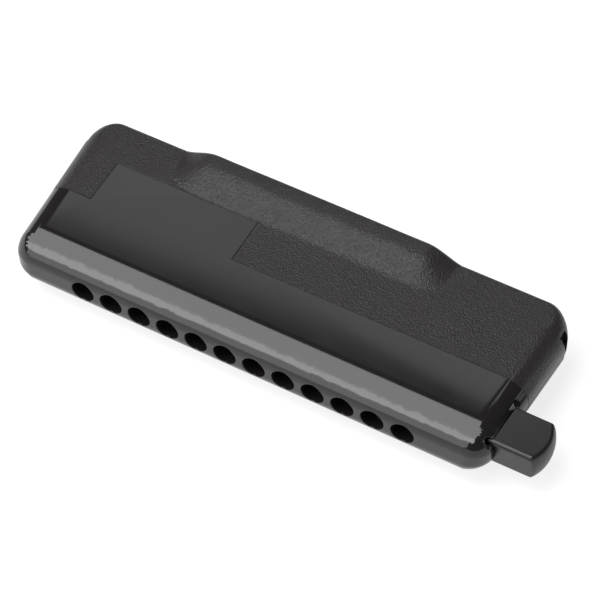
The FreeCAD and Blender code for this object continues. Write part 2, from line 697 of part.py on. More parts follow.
def make_comb():
    """The comb: a channel over and under for every reed, and ears that carry the latches."""
    blank = [block("comb_blank", "-comb_half", COMB_Y, "-comb_half_height", "2 * comb_half",
                   f"comb_rear - {COMB_Y}", "2 * comb_half_height")]
    tools = []
    open_high = "comb_half_height - comb_floor + 1"
    for sign in (-1, 1):
        floor = "comb_floor" if sign > 0 else "-comb_half_height - 1"
        for column in COLUMNS:
            tools.append(block(
                f"channel{column}_{sign}", f"{column_x(column)} - (hole_pitch / 2 - comb_wall) / 2",
                f"{COMB_Y} + feeder_deep", floor, "hole_pitch / 2 - comb_wall",
                f"reed_root_y + {reed_length(column)} + pad_length + 0.8 - {COMB_Y} - feeder_deep",
                open_high))
        for hole in range(HOLES):
            tools.append(block(
                f"feeder{hole}_{sign}", f"{hole_x(hole)} - hole_pitch / 2 + comb_wall",
                f"{COMB_Y} - 1", floor, "hole_pitch - 2 * comb_wall", "feeder_deep + 1.1",
                open_high))
        low = "comb_half_height - screw_deep" if sign > 0 else "-comb_half_height - 1"
        for number, (x, y) in enumerate(screw_places()):
            tools.append(rod(f"comb_bore{number}_{sign}", x, y, low, "screw_radius", "screw_deep + 1"))
        for side in (-1, 1):
            x = "comb_half - 0.5" if side > 0 else "-comb_half - ear_reach"
            z = "comb_half_height - ear_thick" if sign > 0 else "-comb_half_height"
            blank.append(block(f"ear{side}{sign}", x, "latch_y - 2.2", z, "ear_reach + 0.5", "4.4",
                               "ear_thick"))
    for side in (-1, 1):
        tools.append(rod(f"ear_bore{side}", f"{side} * latch_x", "latch_y", "-comb_half_height - 1",
                         "latch_pin", "2 * comb_half_height + 2"))
    return cut("comb", fused("comb_body", blank), tools)


def make_reed_plate():
    """Upper reed plate: a slot and a rivet hole for every reed, and the screw holes."""
    blank = block("plate_blank", "-plate_half", COMB_Y, "comb_half_height", "2 * plate_half",
                  f"plate_rear - {COMB_Y}", "plate_thick")
    tools = []
    for column in COLUMNS:
        tools.append(block(
            f"reed_slot{column}", f"{column_x(column)} - reed_width / 2 - slot_gap", "reed_root_y",
            "comb_half_height - 1", "reed_width + 2 * slot_gap",
            f"{reed_length(column)} + slot_gap", "plate_thick + 2"))
        tools.append(rod(f"rivet_hole{column}", column_x(column), rivet_y(column),
                         "comb_half_height - 1", "rivet_radius", "plate_thick + 2"))
    for number, (x, y) in enumerate(screw_places()):
        tools.append(rod(f"plate_bore{number}", x, y, "comb_half_height - 1", "screw_radius",
                         "plate_thick + 2"))
    return cut("upper_reed_plate", blank, tools)


def make_reeds(label, columns, z, front):
    """One kind of reed on the upper plate, a tongue and a riveted root each."""
    reeds = []
    for column in columns:
        long = reed_length(column)
        reed = block(f"{label}{column}", f"{column_x(column)} - reed_width / 2", front, z,
                     "reed_width", f"pad_length + {long} - slot_gap", "reed_thick")
        hole = rod(f"{label}_hole{column}", column_x(column), rivet_y(column), f"{z} - 1",
                   "rivet_radius", "reed_thick + 2")
        reeds.append(cut(f"{label}_cut{column}", reed, [hole]))
    return group(label, reeds)


def make_rivets():
    """The rivets of the upper plate, headed on both sides."""
    rivets = []
    for column in COLUMNS:
        draw = column in DRAW_COLUMNS
        low = "comb_half_height" if draw else "(comb_half_height - reed_thick)"
        high = f"({PLATE_TOP} + reed_thick)" if draw else PLATE_TOP
        x, y = column_x(column), rivet_y(column)
        rivets.append(fused(f"rivet{column}", [
            rod(f"shank{column}", x, y, f"{low} - 0.1", "rivet_radius", f"{high} - {low} + 0.2"),
            rod(f"tail{column}", x, y, f"{low} - rivet_rise", "rivet_head", "rivet_rise"),
            rod(f"head{column}", x, y, high, "rivet_head", "rivet_rise"),
        ]))
    return group("upper_reed_rivets", rivets)


def make_valves(label, columns, z, front, extra):
    """Thin flaps over the slots, each glued by its end next to the reed's root."""
    return group(label, [
        block(f"{label}{column}", f"{column_x(column)} - valve_width / 2", front, z, "valve_width",
              f"{reed_length(column)} + {extra}", "valve_thick")
        for column in columns])


def make_screws():
    """Screws that hold the upper plate to the comb."""
    return group("upper_plate_screws", [
        fused(f"screw{number}", [
            rod(f"screw_shank{number}", x, y, "comb_half_height - screw_deep", "screw_radius",
                "screw_deep + plate_thick + 0.1"),
            rod(f"screw_head{number}", x, y, PLATE_TOP, "screw_head", "screw_rise"),
        ])
        for number, (x, y) in enumerate(screw_places())])


def make_reed_sets():
    """Both reed plates with everything on them; the lower set mirrors the upper one."""
    inner_z = "(comb_half_height - reed_thick)"
    upper = [
        make_reed_plate(),
        make_reeds("upper_draw_reeds", DRAW_COLUMNS, PLATE_TOP, "reed_root_y - pad_length"),
        make_reeds("upper_blow_reeds", BLOW_COLUMNS, inner_z, "reed_root_y + slot_gap"),
        make_rivets(),
        make_valves("upper_outer_valves", BLOW_COLUMNS, PLATE_TOP, "reed_root_y - 0.8",
                    "valve_glue + 0.8"),
        make_valves("upper_inner_valves", DRAW_COLUMNS, "(comb_half_height - valve_thick)",
                    "reed_root_y - valve_glue", "valve_glue + 0.8"),
        make_screws(),
    ]
    return upper + [mirrored(item.Label.replace("upper", "lower"), item, Vector(0, 0, 1))
                    for item in upper]


# ---------------------------------------------------------------- latches

def make_latches():
    """Two spring latches on the comb's ends, with a tab in each catch of the housing."""
    inner = "latch_x - latch_thick / 2"
    pieces = [
        rod("knuckle", "latch_x", "latch_y", "-knuckle_half", "knuckle_radius", "2 * knuckle_half"),
        block("neck", inner, "latch_y", "-knuckle_half", "latch_thick", "3.2", "2 * knuckle_half"),
        block("arm", inner, "latch_y + 2.7", "-arm_half", "latch_thick",
              "tab_back - latch_y - 2.7", "2 * arm_half"),
    ]
    for sign in (-1, 1):
        low = "tab_low" if sign > 0 else "-tab_high"
        pieces.append(block(f"tab{sign}", "latch_x", "tab_back - tab_thick", low,
                            "tab_tip - latch_x", "tab_thick", "tab_high - tab_low"))
    bore = rod("knuckle_bore", "latch_x", "latch_y", "-knuckle_half - 1", "latch_pin + pin_gap",
               "2 * knuckle_half + 2")
    right = cut("right_latch", fused("latch_body", pieces), [bore])
    pins = [rod(f"latch_pin{side}", f"{side} * latch_x", "latch_y", "-comb_half_height", "latch_pin",
                "2 * comb_half_height") for side in (-1, 1)]
    return [right, mirrored("left_latch", right, Vector(1, 0, 0)), group("latch_pins", pins)]


# ---------------------------------------------------------------- assembly and export

def origin_shift():
    """Moves the origin to the bottom centre of the whole instrument's box."""
    lean = atan2(size("end_flare"), 1)
    turn_y = size("depth") - size("rear_corner") * (1 + sin(lean))
    left = half_length_at(turn_y) + size("rear_corner") * (1 - cos(lean))
    return Vector((left - size("button_crown")) / 2, -size("depth") / 2, size("crest_z"))


def place(nodes, shift):
    """Gives every sub-part its Placement; a mirrored one has its mirror plane moved instead."""
    for node in nodes:
        if node.TypeId == "Part::Mirroring":
            node.Base = shift
            continue
        base = node.Placement.Base
        for axis in "xyz":
            node.setExpression(f"Placement.Base.{axis}", None)
        node.Placement = FreeCAD.Placement(base + shift, node.Placement.Rotation)


def check_document():
    """Stops if any object of the document failed."""
    doc.recompute()
    for item in doc.Objects:
        if "Invalid" in item.State or "Error" in item.State:
            raise RuntimeError(f"{item.Label} failed: {item.State}")


def export(nodes):
    """Writes each sub-part to its own file."""
    os.makedirs("parts", exist_ok=True)
    for node in nodes:
        shape = node.Shape
        if shape.isNull() or not shape.isValid() or not shape.Solids:
            raise RuntimeError(f"{node.Label} has no valid solid")
        shape.exportStep(f"parts/{node.Label}.step")
        print(f"{node.Label}: {len(shape.Solids)} solids, {shape.Volume:.1f} mm3")


def main():
    """Builds every sub-part, places it and writes it."""
    nodes = [make_housing(), make_guide(), make_slide(), make_comb(), make_spring(), make_stop()]
    nodes += make_seals()
    nodes += list(make_button())
    nodes += make_reed_sets()
    nodes += make_latches()
    check_document()
    place(nodes, origin_shift())
    check_document()
    export(nodes)


main()
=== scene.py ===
"""A twelve-hole slide harmonica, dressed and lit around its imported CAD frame.

Every length is in metres, in the frame of the CAD part: +X runs to the slide button, +Y to the back, +Z up.
"""

import logging
import math
from dataclasses import dataclass, field
from enum import Enum
from typing import Any, Sequence

import bpy
from mathutils import Matrix, Vector

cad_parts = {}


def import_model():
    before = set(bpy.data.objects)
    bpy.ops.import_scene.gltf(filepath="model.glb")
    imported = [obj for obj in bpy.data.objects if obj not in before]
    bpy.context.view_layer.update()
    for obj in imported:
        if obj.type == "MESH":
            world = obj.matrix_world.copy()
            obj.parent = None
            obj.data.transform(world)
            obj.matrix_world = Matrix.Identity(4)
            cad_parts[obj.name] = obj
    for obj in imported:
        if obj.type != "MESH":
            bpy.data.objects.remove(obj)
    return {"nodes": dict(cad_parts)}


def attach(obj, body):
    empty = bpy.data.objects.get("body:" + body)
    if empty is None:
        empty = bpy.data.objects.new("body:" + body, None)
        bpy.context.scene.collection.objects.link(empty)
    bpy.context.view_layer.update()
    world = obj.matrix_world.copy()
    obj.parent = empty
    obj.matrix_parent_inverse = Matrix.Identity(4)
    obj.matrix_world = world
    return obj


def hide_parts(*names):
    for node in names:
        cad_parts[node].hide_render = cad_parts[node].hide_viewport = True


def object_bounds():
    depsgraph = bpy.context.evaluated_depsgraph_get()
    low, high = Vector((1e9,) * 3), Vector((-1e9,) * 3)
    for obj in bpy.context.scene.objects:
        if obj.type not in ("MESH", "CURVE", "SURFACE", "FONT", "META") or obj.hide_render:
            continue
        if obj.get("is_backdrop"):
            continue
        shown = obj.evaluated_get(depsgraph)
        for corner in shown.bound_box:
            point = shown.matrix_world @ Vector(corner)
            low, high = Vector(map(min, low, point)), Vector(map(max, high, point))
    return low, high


LOG = logging.getLogger("harmonica")
MM = 0.001
Colour = tuple[float, float, float]
Point = tuple[float, float, float]

MIDDLE = 0.5  # the mean of a noise, which is taken off so that it varies both ways
WHITE = (1.0, 1.0, 1.0, 1.0)
EVEN = (1.0, 1.0, 1.0)  # no stretch along any axis
GRAIN_SOFTNESS = 0.35  # how far one grain melts into the next
MIX_SOCKETS = (0, 6, 7)  # the share and the two colours of a colour mix
MIX_COLOUR_OUT = 2
GRAIN_ROUNDED = 0.7  # share of rounded grains in the moulded relief
GRAIN_RAGGED = 0.6  # share of finer, uneven grains in it
FINE_SIZE = 0.09 * MM  # width of the finest skin texture
SOFT, CRISP, SWIRLED, CLOUDY = 2.0, 3.0, 4.0, 5.0  # how many finer layers a noise has
PLASTIC_IOR = 1.5


class Body(Enum):
    """The moving bodies of the harmonica."""

    HARMONICA = "harmonica_body"
    SLIDE = "slide"
    RIGHT_CATCH = "right_catch"
    LEFT_CATCH = "left_catch"


class Side(Enum):
    """The two reed plates and all that sits on them."""

    UPPER = "upper"
    LOWER = "lower"


# ---------------------------------------------------------------- shader maths


class Wire:
    """A shader socket that takes part in Python arithmetic."""

    def __init__(self, graph: "Graph", socket: bpy.types.NodeSocket) -> None:
        """Keeps the socket and the graph it belongs to."""
        self.graph = graph
        self.socket = socket

    def _maths(self, operation: str, first: Any, second: Any = 0.0) -> "Wire":
        """Adds one Math node.

        Args:
            operation: the node's operation.
            first: its first value or wire.
            second: its second value or wire.

        Returns:
            The node's result.
        """
        return self.graph.add("ShaderNodeMath", {"operation": operation}, {0: first, 1: second})

    def __add__(self, other: Any) -> "Wire":
        """self + other."""
        return self._maths("ADD", self, other)

    __radd__ = __add__

    def __sub__(self, other: Any) -> "Wire":
        """self - other."""
        return self._maths("SUBTRACT", self, other)

    def __rsub__(self, other: Any) -> "Wire":
        """other - self."""
        return self._maths("SUBTRACT", other, self)

    def __mul__(self, other: Any) -> "Wire":
        """self * other."""
        return self._maths("MULTIPLY", self, other)

    __rmul__ = __mul__

    def step(self, start: float, end: float) -> "Wire":
        """A smooth rise from 0 at start to 1 at end."""
        return self.graph.add(
            "ShaderNodeMapRange",
            {"interpolation_type": "SMOOTHSTEP"},
            {"Value": self, "From Min": start, "From Max": end, "To Min": 0.0, "To Max": 1.0},
        )


class Graph:
    """The node tree of one material."""

    def __init__(self, name: str) -> None:
        """Starts an empty material.

        Args:
            name: the material's name.
        """
        self.material = bpy.data.materials.new(name)
        self.material.use_nodes = True
        self.tree = self.material.node_tree
        self.tree.nodes.clear()

    def add(self, kind: str, settings: dict[str, Any], inputs: dict[Any, Any], out: Any = 0) -> Wire:
        """Adds one node.

        Args:
            kind: the node's type.
            settings: its settings, set before its sockets.
            inputs: the value or the wire for each socket, by name or number.
            out: the output that is returned, by name or number.

        Returns:
            The chosen output.
        """
        node = self.tree.nodes.new(kind)
        for key, value in settings.items():
            setattr(node, key, value)
        for key, value in inputs.items():
            if isinstance(value, Wire):
                self.tree.links.new(value.socket, node.inputs[key])
            else:
                node.inputs[key].default_value = value
        return Wire(self, node.outputs[out])

    def place(self, scale: Sequence[float] = EVEN) -> Wire:
        """The piece's own coordinates, stretched along its axes.

        Args:
            scale: the stretch along X, Y and Z.

        Returns:
            The coordinates.
        """
        here = self.add("ShaderNodeTexCoord", {}, {}, "Object")
        return self.add("ShaderNodeMapping", {}, {"Vector": here, "Scale": tuple(scale)})

    def axes(self) -> tuple[Wire, Wire, Wire]:
        """The piece's X, Y and Z coordinates."""
        here = self.place()
        split = self.add("ShaderNodeSeparateXYZ", {}, {"Vector": here}, "X")
        node = split.socket.node
        return split, Wire(self, node.outputs["Y"]), Wire(self, node.outputs["Z"])

    def noise(self, size: float, detail: float, scale: Sequence[float] = EVEN) -> Wire:
        """Soft random variation.

        Args:
            size: the width of one blot.
            detail: how many finer layers it has.
            scale: the stretch along X, Y and Z.

        Returns:
            A value from 0 to 1.
        """
        return self.add(
            "ShaderNodeTexNoise", {}, {"Vector": self.place(scale), "Scale": 1.0 / size, "Detail": detail}
        )

    def pebbles(self, size: float) -> Wire:
        """Rounded grains that touch each other.

        Args:
            size: the width of one grain.

        Returns:
            The distance to the middle of the nearest grain, in grain widths.
        """
        return self.add(
            "ShaderNodeTexVoronoi",
            {"feature": "SMOOTH_F1"},
            {"Vector": self.place(), "Scale": 1.0 / size, "Smoothness": GRAIN_SOFTNESS},
            "Distance",
        )

    def blend(self, share: Any, first: Any, second: Any) -> Wire:
        """Mixes two colours.

        Args:
            share: how much of the second colour.
            first: the first colour.
            second: the second colour.

        Returns:
            The mixed colour.
        """
        inputs = dict(zip(MIX_SOCKETS, (share, first, second)))
        for index in MIX_SOCKETS[1:]:
            if not isinstance(inputs[index], Wire):
                inputs[index] = (*inputs[index], 1.0)
        return self.add("ShaderNodeMix", {"data_type": "RGBA"}, inputs, MIX_COLOUR_OUT)

    def bump(self, height: Wire, depth: float) -> Wire:
        """Turns a height into a bent normal.

        Args:
            height: the height, from 0 to 1.
            depth: how deep 1 is.

        Returns:
            The bent normal.
        """
        sockets = {"Height": height, "Distance": depth, "Strength": 1.0}
        return self.add("ShaderNodeBump", {}, sockets, "Normal")

    def finish(self, varying: dict[str, Wire], fixed: dict[str, Any]) -> bpy.types.Material:
        """Closes the material with its shader.

        Args:
            varying: the wires into the shader, by socket.
            fixed: the shader's plain values, by socket.

        Returns:
            The finished material.
        """
        shader = self.add("ShaderNodeBsdfPrincipled", {}, {**fixed, **varying}, "BSDF")
        self.add_output(shader)
        return self.material

    def add_output(self, shader: Wire) -> None:
        """Joins the shader to the material's output."""
        output = self.tree.nodes.new("ShaderNodeOutputMaterial")
        self.tree.links.new(shader.socket, output.inputs["Surface"])


def shade(colour: Colour, share: float) -> Colour:
    """The colour made lighter or darker by a share."""
    return (colour[0] * share, colour[1] * share, colour[2] * share)


# -------------------------------------------------------------------- finishes


@dataclass(frozen=True)
class Finish:
    """A finish that every piece of one slot shares."""

    name: str
    colour: Colour
    rough: float

    def make(self) -> bpy.types.Material:
        """Makes the finish's material."""
        raise NotImplementedError


def moulded_grain(graph: Graph, size: float) -> Wire:
    """The relief of a spark-eroded mould: rounded grains, roughened by finer ones.

    Args:
        graph: the material's nodes.
        size: the width of one grain.

    Returns:
        The height of the grain.
    """
    return graph.pebbles(size) * GRAIN_ROUNDED + graph.noise(size / 2.0, SOFT) * GRAIN_RAGGED


@dataclass(frozen=True)
class ShellPlastic(Finish):
    """Black moulding: bright in front, with a spark-eroded grain behind and a plain panel in it. The grain
    carries a painted sheen, with painted sparkle on its grain tops.
    """

    grain_front: float = -2.15 * MM
    panel_left: float = -66.52 * MM
    panel_right: float = -21.12 * MM
    panel_back: float = 12.4 * MM
    border: float = 0.02 * MM
    grain_size: float = 0.55 * MM
    grain_depth: float = 0.2 * MM
    # painted sheen: how much lighter the grain's colour is painted where it would catch the light
    grain_rough: float = 0.34
    painted_grain_sheen: float = 2.2
    groove_half: float = 0.17 * MM
    groove_rough: float = 0.6
    swirl_size: float = 9.0 * MM
    hair_size: float = 0.25 * MM
    hair_stretch: Point = (0.05, 1.0, 1.0)
    fine_height: float = 0.002
    hair_height: float = 0.0008
    swirl_rough: float = 0.04
    fine_rough: float = 0.05
    swirl_tone: float = 0.3
    # painted sheen and sparkle: how far the grained zone, and its grain tops more, are painted lighter
    grain_sheen_tone: float = 0.45
    pebble_sparkle_tone: float = 0.4

    def grained(self, graph: Graph, grow: float = 0.0) -> Wire:
        """Where the grain is: 1 in the grained zone, 0 in the bright one.

        Args:
            graph: the material's nodes.
            grow: how far the zone is widened past its edge, in metres.

        Returns:
            The mask.
        """
        x, y, _ = graph.axes()
        soft = self.border
        front, back = self.grain_front - grow, self.panel_back - grow
        left, right = self.panel_left + grow, self.panel_right - grow
        rear = y.step(front - soft, front + soft)
        inside = x.step(left - soft, left + soft) * (1.0 - x.step(right - soft, right + soft))
        panel = inside * (1.0 - y.step(back - soft, back + soft))
        return rear * (1.0 - panel)

    def make(self) -> bpy.types.Material:
        """Makes the two-zone plastic."""
        graph = Graph(self.name)
        mask = self.grained(graph)
        grain = moulded_grain(graph, self.grain_size)
        fine = graph.noise(FINE_SIZE, CRISP)
        swirl = graph.noise(self.swirl_size, SWIRLED)
        hair = graph.noise(self.hair_size, SOFT, self.hair_stretch)
        height = grain * mask + fine * self.fine_height + hair * self.hair_height
        groove = self.grained(graph, self.groove_half) * (1.0 - self.grained(graph, -self.groove_half))
        rough = self.rough + mask * (self.grain_rough - self.rough)
        rough = rough + (swirl - MIDDLE) * self.swirl_rough + (fine - MIDDLE) * self.fine_rough
        rough = rough + groove * (self.groove_rough - rough)
        # the swirl is random tone; the grained zone and its grain tops are painted lighter, a painted sheen
        # and sparkle
        tone_and_sheen = swirl * self.swirl_tone + mask * (self.grain_sheen_tone + grain * self.pebble_sparkle_tone)
        return graph.finish(
            {
                "Base Color": graph.blend(tone_and_sheen, self.colour, shade(self.colour, self.painted_grain_sheen)),
                "Roughness": rough,
                "Normal": graph.bump(height, self.grain_depth),
            },
            {"IOR": PLASTIC_IOR},
        )


@dataclass(frozen=True)
class GrainedEndPlastic(Finish):
    """Black moulding that is grained only on its domed outer end, where the grain tops carry a painted
    sparkle.
    """

    dome: Point = (69.28 * MM, -13.45 * MM, 12.0 * MM)
    dome_radius: float = 12.1 * MM
    border: float = 0.08 * MM
    grain_size: float = 0.42 * MM
    grain_depth: float = 0.06 * MM
    grain_rough: float = 0.12
    # painted sparkle: how much lighter the dome's grain tops are painted
    painted_grain_sheen: float = 1.8
    swirl_size: float = 5.0 * MM
    swirl_rough: float = 0.1
    fine_height: float = 0.03
    tone_and_sparkle_share: float = 0.4

    def make(self) -> bpy.types.Material:
        """Makes the plastic."""
        graph = Graph(self.name)
        x, y, z = (wire - centre for wire, centre in zip(graph.axes(), self.dome))
        inner = self.dome_radius - self.border
        mask = (x * x + y * y + z * z).step(inner**2, self.dome_radius**2)
        grain = moulded_grain(graph, self.grain_size)
        fine = graph.noise(FINE_SIZE, CRISP)
        swirl = graph.noise(self.swirl_size, SWIRLED)
        # random swirl tone, plus painted sparkle on the dome's grain tops
        tone_and_sheen = (swirl + mask * grain) * self.tone_and_sparkle_share
        return graph.finish(
            {
                "Base Color": graph.blend(tone_and_sheen, self.colour, shade(self.colour, self.painted_grain_sheen)),
                "Roughness": self.rough + mask * self.grain_rough + (swirl - MIDDLE) * self.swirl_rough,
                "Normal": graph.bump(grain * mask + fine * self.fine_height, self.grain_depth),
            },
            {"IOR": PLASTIC_IOR},
        )


@dataclass(frozen=True)
class InnerPlastic(Finish):
    """Moulding with a fine matt skin and faint flow marks."""

    flow_size: float = 7.0 * MM
    flow_stretch: Point = (0.3, 1.0, 1.0)
    skin_size: float = 0.14 * MM
    skin_depth: float = 0.012 * MM
    skin_share: float = 0.6
    flow_rough: float = 0.18
    skin_rough: float = 0.08
    darkest: float = 0.75
    lightest: float = 1.3

    def make(self) -> bpy.types.Material:
        """Makes the plastic."""
        graph = Graph(self.name)
        flow = graph.noise(self.flow_size, SWIRLED, self.flow_stretch)
        skin = graph.noise(self.skin_size, CRISP)
        rough = self.rough + (flow - MIDDLE) * self.flow_rough + (skin - MIDDLE) * self.skin_rough
        height = skin * self.skin_share + flow * (1.0 - self.skin_share)
        dark, light = shade(self.colour, self.darkest), shade(self.colour, self.lightest)
        return graph.finish(
            {
                "Base Color": graph.blend(flow, dark, light),
                "Roughness": rough,
                "Normal": graph.bump(height, self.skin_depth),
            },
            {"IOR": 1.48},
        )


@dataclass(frozen=True)
class Metal(Finish):
    """Rolled sheet or drawn wire, with its grain along one axis and faint tarnish."""

    along: Point = (0.04, 1.0, 1.0)
    tarnish: Colour = (0.2, 0.15, 0.08)
    spots: float = 0.35
    brush_size: float = 0.12 * MM
    brush_depth: float = 0.006 * MM
    cloud_size: float = 4.0 * MM
    cloud_from: float = 0.45
    cloud_full: float = 0.75
    brush_rough: float = 0.16
    dull_rough: float = 0.2
    dull_metal: float = 0.25

    def make(self) -> bpy.types.Material:
        """Makes the metal."""
        graph = Graph(self.name)
        brush = graph.noise(self.brush_size, SWIRLED, self.along)
        cloud = graph.noise(self.cloud_size, CLOUDY)
        dull = cloud.step(self.cloud_from, self.cloud_full) * self.spots
        return graph.finish(
            {
                "Base Color": graph.blend(dull, self.colour, self.tarnish),
                "Roughness": self.rough + (brush - MIDDLE) * self.brush_rough + dull * self.dull_rough,
                "Metallic": 1.0 - dull * self.dull_metal,
                "Normal": graph.bump(brush, self.brush_depth),
            },
            {},
        )


@dataclass(frozen=True)
class Rubber(Finish):
    """Soft rubber with a dusty, fine-pored skin."""

    pore: float = 0.2 * MM
    pore_depth: float = 0.02 * MM
    dust_size: float = 3.0 * MM
    dust_rough: float = 0.2
    darkest: float = 0.7
    lightest: float = 1.5

    def make(self) -> bpy.types.Material:
        """Makes the rubber."""
        graph = Graph(self.name)
        pores = graph.pebbles(self.pore)
        dust = graph.noise(self.dust_size, CLOUDY)
        dark, light = shade(self.colour, self.darkest), shade(self.colour, self.lightest)
        return graph.finish(
            {
                "Base Color": graph.blend(dust, dark, light),
                "Roughness": self.rough + (dust - MIDDLE) * self.dust_rough,
                "Normal": graph.bump(pores, self.pore_depth),
            },
            {"Specular IOR Level": 0.35},
        )


@dataclass(frozen=True)
class Film(Finish):
    """Thin milky plastic film for the valves."""

    crinkle_size: float = 1.1 * MM
    crinkle_depth: float = 0.02 * MM
    cloud_size: float = 2.5 * MM
    cloud_rough: float = 0.2
    darkest: float = 0.9

    def make(self) -> bpy.types.Material:
        """Makes the film."""
        graph = Graph(self.name)
        crinkle = graph.noise(self.crinkle_size, CRISP)
        cloud = graph.noise(self.cloud_size, SWIRLED)
        return graph.finish(
            {
                "Base Color": graph.blend(cloud, shade(self.colour, self.darkest), self.colour),
                "Roughness": self.rough + (cloud - MIDDLE) * self.cloud_rough,
                "Normal": graph.bump(crinkle, self.crinkle_depth),
            },
            {"IOR": 1.46},
        )


BLACK: Colour = (0.0125, 0.0108, 0.0118)
BRASS: Colour = (0.78, 0.56, 0.24)
STEEL: Colour = (0.56, 0.56, 0.57)
WELD = 0.001 * MM  # corners nearer than this are one corner
FACE_WEIGHT = 100  # shading follows the larger faces as far as it can
SHELL_ANGLE = 34.0  # the sharpest edges, in degrees, that are still shaded smooth
SPRING_ANGLE = 60.0
HEAD_ANGLE = 40.0
RIVET_ANGLE = 50.0

FINISHES: dict[str, Finish] = {
    "housing_plastic": ShellPlastic("shell_black", BLACK, 0.1),
    "guide_plastic": InnerPlastic("guide_black", (0.02, 0.019, 0.02), 0.38),
    "slide_steel": Metal("slide_sheet", STEEL, 0.24, spots=0.15, tarnish=(0.3, 0.29, 0.28)),
    "comb_plastic": InnerPlastic("comb_grey", (0.035, 0.034, 0.036), 0.45),
    "spring_steel": Metal("spring_wire", (0.5, 0.5, 0.52), 0.28, along=(0.2, 1.0, 1.0), spots=0.2),
    "stop_rubber": Rubber("stop_rubber_black", (0.02, 0.02, 0.02), 0.7),
    "seal_rubber": Rubber("seal_rubber_grey", (0.045, 0.045, 0.047), 0.75, pore=0.3 * MM),
    "button_plastic": GrainedEndPlastic("button_black", BLACK, 0.3),
    "pin_steel": Metal("pin_rod", STEEL, 0.22, along=(1.0, 1.0, 0.1), spots=0.1),
    "latch_plastic": InnerPlastic("latch_black", (0.03, 0.029, 0.03), 0.34),
    "plate_brass": Metal("plate_sheet", BRASS, 0.3, tarnish=(0.3, 0.18, 0.07), spots=0.5),
    "reed_brass": Metal("reed_strip", (0.86, 0.66, 0.32), 0.22, along=(1.0, 0.04, 1.0), spots=0.2),
    "rivet_brass": Metal("rivet_head", (0.7, 0.5, 0.22), 0.3, along=(1.0, 1.0, 1.0), spots=0.4),
    "valve_film": Film("valve_milky", (0.62, 0.63, 0.6), 0.4),
    "screw_steel": Metal("screw_head", (0.5, 0.49, 0.47), 0.3, along=(1.0, 1.0, 1.0), spots=0.25),
}


@dataclass
class Paintbox:
    """Makes each finish once and hands it out."""

    made: dict[str, bpy.types.Material] = field(default_factory=dict)

    def dip(self, piece: bpy.types.Object, slot: str) -> None:
        """Gives a piece the finish of a slot.

        Args:
            piece: the mesh object.
            slot: the name of the material slot in the record.
        """
        if slot not in self.made:
            self.made[slot] = FINISHES[slot].make()
        piece.data.materials.clear()
        piece.data.materials.append(self.made[slot])
        for polygon in piece.data.polygons:
            polygon.material_index = 0


# ------------------------------------------------------------------- the parts


def choose_only(piece: bpy.types.Object) -> None:
    """Makes one object the only selected and the active one."""
    bpy.ops.object.select_all(action="DESELECT")
    piece.select_set(True)
    bpy.context.view_layer.objects.active = piece


@dataclass
class Workshop:
    """What every sub-assembly needs: the CAD nodes and the finishes."""

    nodes: dict[str, bpy.types.Object]
    paints: Paintbox

    def carry(self, node: str, slot: str) -> None:
        """Keeps a CAD node's shape and gives it its finish.

        Args:
            node: the CAD node.
            slot: its material slot.
        """
        self.paints.dip(self.nodes[node], slot)
        LOG.info("dressed %s", node)

    def polish(self, node: str, body: Body, slot: str, angle: float = 32.0) -> bpy.types.Object:
        """Stands a smooth-shaded, welded piece in for a CAD node.

        Args:
            node: the CAD node.
            body: the body that the piece rides on.
            slot: its material slot.
            angle: the sharpest edge that is still shaded smooth, in degrees.

        Returns:
            The new piece.
        """
        source = self.nodes[node]
        piece = bpy.data.objects.new(node + "_skin", source.data.copy())
        bpy.context.scene.collection.objects.link(piece)
        choose_only(piece)
        bpy.ops.object.mode_set(mode="EDIT")
        bpy.ops.mesh.select_all(action="SELECT")
        bpy.ops.mesh.remove_doubles(threshold=WELD)
        bpy.ops.mesh.normals_make_consistent(inside=False)
        bpy.ops.object.mode_set(mode="OBJECT")
        bpy.ops.object.shade_smooth_by_angle(angle=math.radians(angle))
        level = piece.modifiers.new("even", "WEIGHTED_NORMAL")
        level.keep_sharp = True
        level.weight = FACE_WEIGHT
        bpy.ops.object.modifier_apply(modifier=level.name)
        self.paints.dip(piece, slot)
        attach(piece, body.value)
        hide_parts(node)
        LOG.info("polished %s: %d faces", node, len(piece.data.polygons))
        return piece


@dataclass
class Case:
    """The one-piece housing with its two catches."""

    shop: Workshop

    def build(self) -> None:
        """Dresses the housing, the catches and their pins."""
        self.shop.polish("housing", Body.HARMONICA, "housing_plastic", SHELL_ANGLE)
        self.shop.polish("right_latch", Body.RIGHT_CATCH, "latch_plastic")
        self.shop.polish("left_latch", Body.LEFT_CATCH, "latch_plastic")
        self.shop.polish("latch_pins", Body.HARMONICA, "pin_steel")


@dataclass
class SlideWorks:
    """The slide with its guide, seals, spring, stop and button."""

    shop: Workshop

    def build(self) -> None:
        """Dresses every part of the slide works."""
        self.shop.carry("slide_guide", "guide_plastic")
        self.shop.carry("mouthpiece_seal", "seal_rubber")
        self.shop.carry("comb_seal", "seal_rubber")
        self.shop.carry("slide_plate", "slide_steel")
        self.shop.polish("slide_stop", Body.HARMONICA, "stop_rubber")
        self.shop.polish("slide_spring", Body.HARMONICA, "spring_steel", SPRING_ANGLE)
        self.shop.polish("slide_button", Body.SLIDE, "button_plastic", HEAD_ANGLE)
        self.shop.polish("button_pins", Body.SLIDE, "pin_steel")


